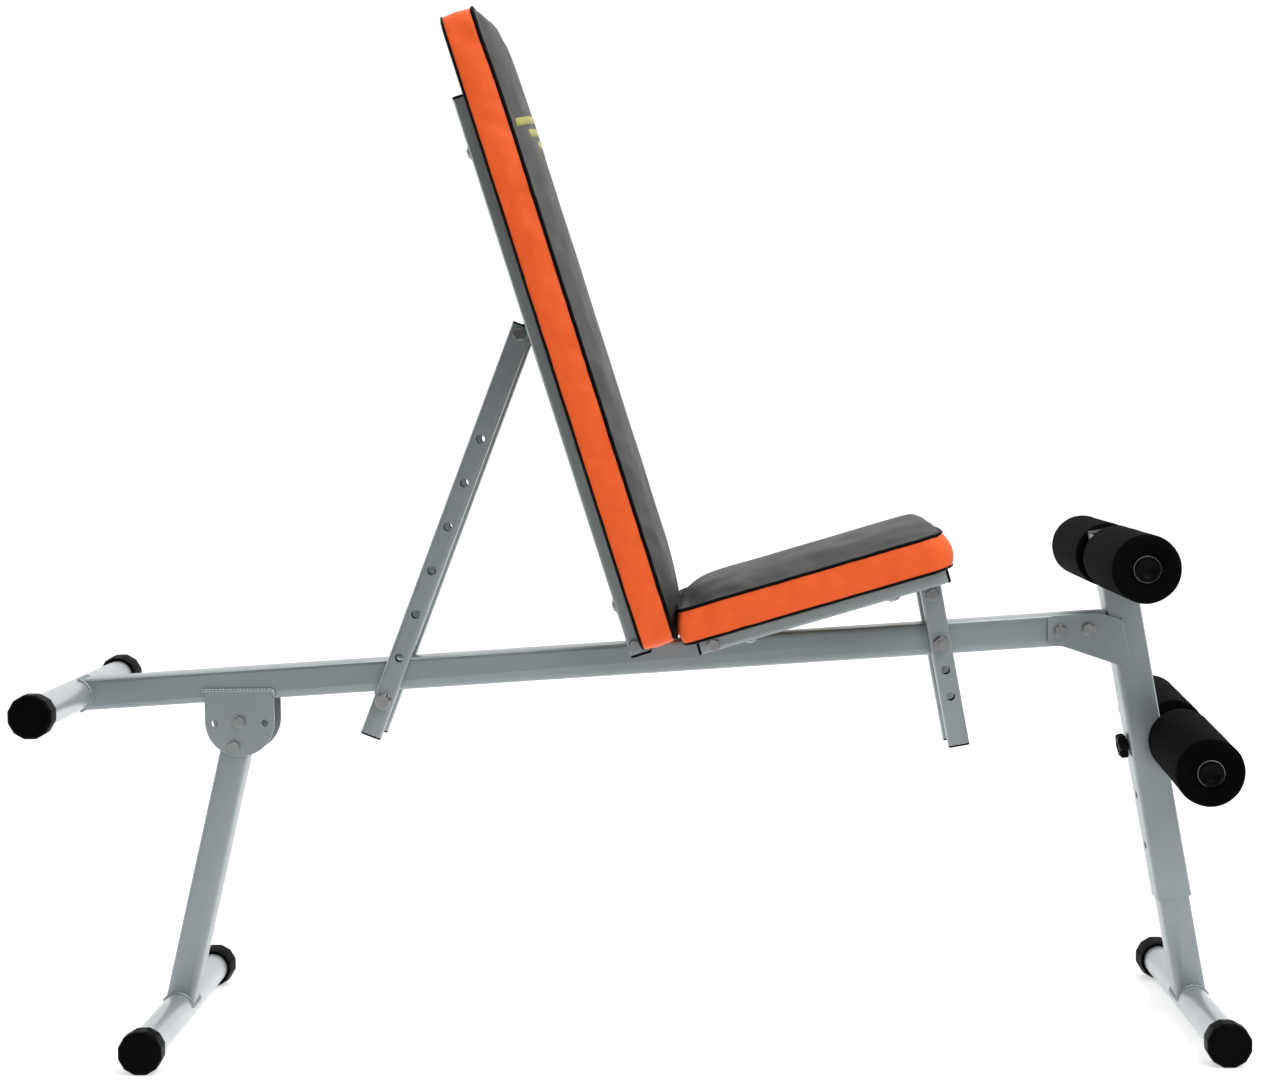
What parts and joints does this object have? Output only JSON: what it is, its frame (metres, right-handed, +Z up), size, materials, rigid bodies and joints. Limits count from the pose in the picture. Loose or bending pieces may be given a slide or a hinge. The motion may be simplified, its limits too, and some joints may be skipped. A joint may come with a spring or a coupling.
{
  "type": "decline sit up bench",
  "caption": "Decline sit up bench: sloping beam on a front post and folding rear leg, strut-adjusted backrest and seat, foam leg rollers.",
  "frame": {"origin": "on the floor under the middle of the bench's box", "axes": "+X towards the leg-roller end, +Z up, -Y the right-hand side of a seated user"},
  "size_m": [1.3967, 0.4104, 1.2009],
  "materials": {
    "silver_paint": "satin silver-grey powder coat",
    "pale_tube": "satin light silver powder coat",
    "zinc_steel": "zinc-plated fasteners",
    "black_rubber": "moulded matt rubber",
    "black_foam": "closed-cell foam, matt skin",
    "black_plastic": "moulded black plastic",
    "orange_vinyl": "orange upholstery vinyl",
    "grey_vinyl": "charcoal-grey upholstery vinyl",
    "black_piping": "black vinyl piping",
    "emblem_print": null,
    "plywood": "raw plywood board"
  },
  "bodies": {
    "root": {"main_beam": "silver_paint", "strut_catch": "silver_paint", "backrest_hinge_tube": "silver_paint", "seat_hinge_tube": "silver_paint", "rear_bar": "pale_tube", "rear_bar_cap_right": "black_rubber", "rear_bar_cap_left": "black_rubber", "leg_plate_right": "silver_paint", "leg_plate_left": "silver_paint", "leg_lock_bolt_right": "zinc_steel", "leg_lock_bolt_left": "zinc_steel", "leg_pivot_bolt": "zinc_steel", "post_sleeve": "silver_paint", "post_inner_tube": "silver_paint", "post_top_cap": "black_plastic", "post_plate_right": "silver_paint", "post_plate_left": "silver_paint", "post_bolt_rear": "zinc_steel", "post_bolt_front": "zinc_steel", "front_foot_bar": "pale_tube", "front_foot_bar_cap_right": "black_rubber", "front_foot_bar_cap_left": "black_rubber", "upper_axle": "pale_tube", "upper_axle_bolt": "zinc_steel"},
    "rear_leg": {"rear_leg_tube": "silver_paint", "rear_foot_bar": "pale_tube", "rear_foot_bar_cap_right": "black_rubber", "rear_foot_bar_cap_left": "black_rubber"},
    "backrest": {"backrest_rail_right": "silver_paint", "backrest_rail_left": "silver_paint", "backrest_pivot_bolt": "zinc_steel", "backrest_crossbar": "silver_paint", "backrest_strut_bracket": "silver_paint", "backrest_board": "plywood", "backrest_pad": "orange_vinyl"},
    "backrest_strut": {"backrest_strut_arm_right": "silver_paint", "backrest_strut_arm_left": "silver_paint", "backrest_strut_top_bolt": "zinc_steel", "backrest_strut_pin": "zinc_steel"},
    "seat": {"seat_rail_right": "silver_paint", "seat_rail_left": "silver_paint", "seat_pivot_bolt": "zinc_steel", "seat_crossbar": "silver_paint", "seat_strut_bracket": "silver_paint", "seat_board": "plywood", "seat_pad": "orange_vinyl"},
    "seat_strut": {"seat_strut_arm_right": "silver_paint", "seat_strut_arm_left": "silver_paint", "seat_strut_top_bolt": "zinc_steel", "seat_strut_bolt_right": "zinc_steel", "seat_strut_bolt_left": "zinc_steel"},
    "lower_roller": {"lower_axle": "pale_tube", "lower_axle_saddle": "silver_paint", "lower_axle_bolt": "zinc_steel"},
    "height_knob": {"height_knob": "black_plastic"},
    "upper_foam_right": {"upper_foam_right": "black_foam"},
    "upper_foam_left": {"upper_foam_left": "black_foam"},
    "lower_foam_right": {"lower_foam_right": "black_foam"},
    "lower_foam_left": {"lower_foam_left": "black_foam"}
  },
  "joints": [
    {"name": "backrest_tilt", "type": "hinge", "parent": "root", "child": "backrest", "pos_m": [0.0077, 0, 0.4681], "axis": [0, -1, 0], "range_deg": [0, 65]},
    {"name": "backrest_strut_swing", "type": "hinge", "parent": "backrest", "child": "backrest_strut", "pos_m": [-0.12359, 0, 0.83585], "axis": [0, -1, 0], "range_deg": [0, 20]},
    {"name": "seat_tilt", "type": "hinge", "parent": "root", "child": "seat", "pos_m": [0.1003, 0, 0.4683], "axis": [0, -1, 0], "range_deg": [0, 14]},
    {"name": "seat_strut_swing", "type": "hinge", "parent": "seat", "child": "seat_strut", "pos_m": [0.35945, 0, 0.52145], "axis": [0, -1, 0], "range_deg": [-10, 0]},
    {"name": "rear_leg_fold", "type": "hinge", "parent": "root", "child": "rear_leg", "pos_m": [-0.471, 0, 0.377], "axis": [0, 1, 0], "range_deg": [0, 73]},
    {"name": "lower_roller_slide", "type": "slide", "parent": "root", "child": "lower_roller", "axis": [0.1702, 0, -0.9854], "range_m": [0, 0.124]},
    {"name": "height_knob_turn", "type": "hinge", "parent": "lower_roller", "child": "height_knob", "pos_m": [0.59575, 0, 0.3338], "axis": [0.9854, 0, 0.1702], "continuous": true},
    {"name": "upper_foam_right_spin", "type": "hinge", "parent": "root", "child": "upper_foam_right", "pos_m": [0.57781, 0, 0.56106], "axis": [0, 1, 0], "continuous": true},
    {"name": "upper_foam_left_spin", "type": "hinge", "parent": "root", "child": "upper_foam_left", "pos_m": [0.57781, 0, 0.56106], "axis": [0, 1, 0], "continuous": true},
    {"name": "lower_foam_right_spin", "type": "hinge", "parent": "lower_roller", "child": "lower_foam_right", "pos_m": [0.65537, 0, 0.3441], "axis": [0.037, 0.9979, 0.0524], "continuous": true},
    {"name": "lower_foam_left_spin", "type": "hinge", "parent": "lower_roller", "child": "lower_foam_left", "pos_m": [0.65537, 0, 0.3441], "axis": [0.037, 0.9979, 0.0524], "continuous": true}
  ],
  "couplings": [
    {"joint": "seat_strut_swing", "follows": "seat_tilt", "ratio": -0.68}
  ]
}
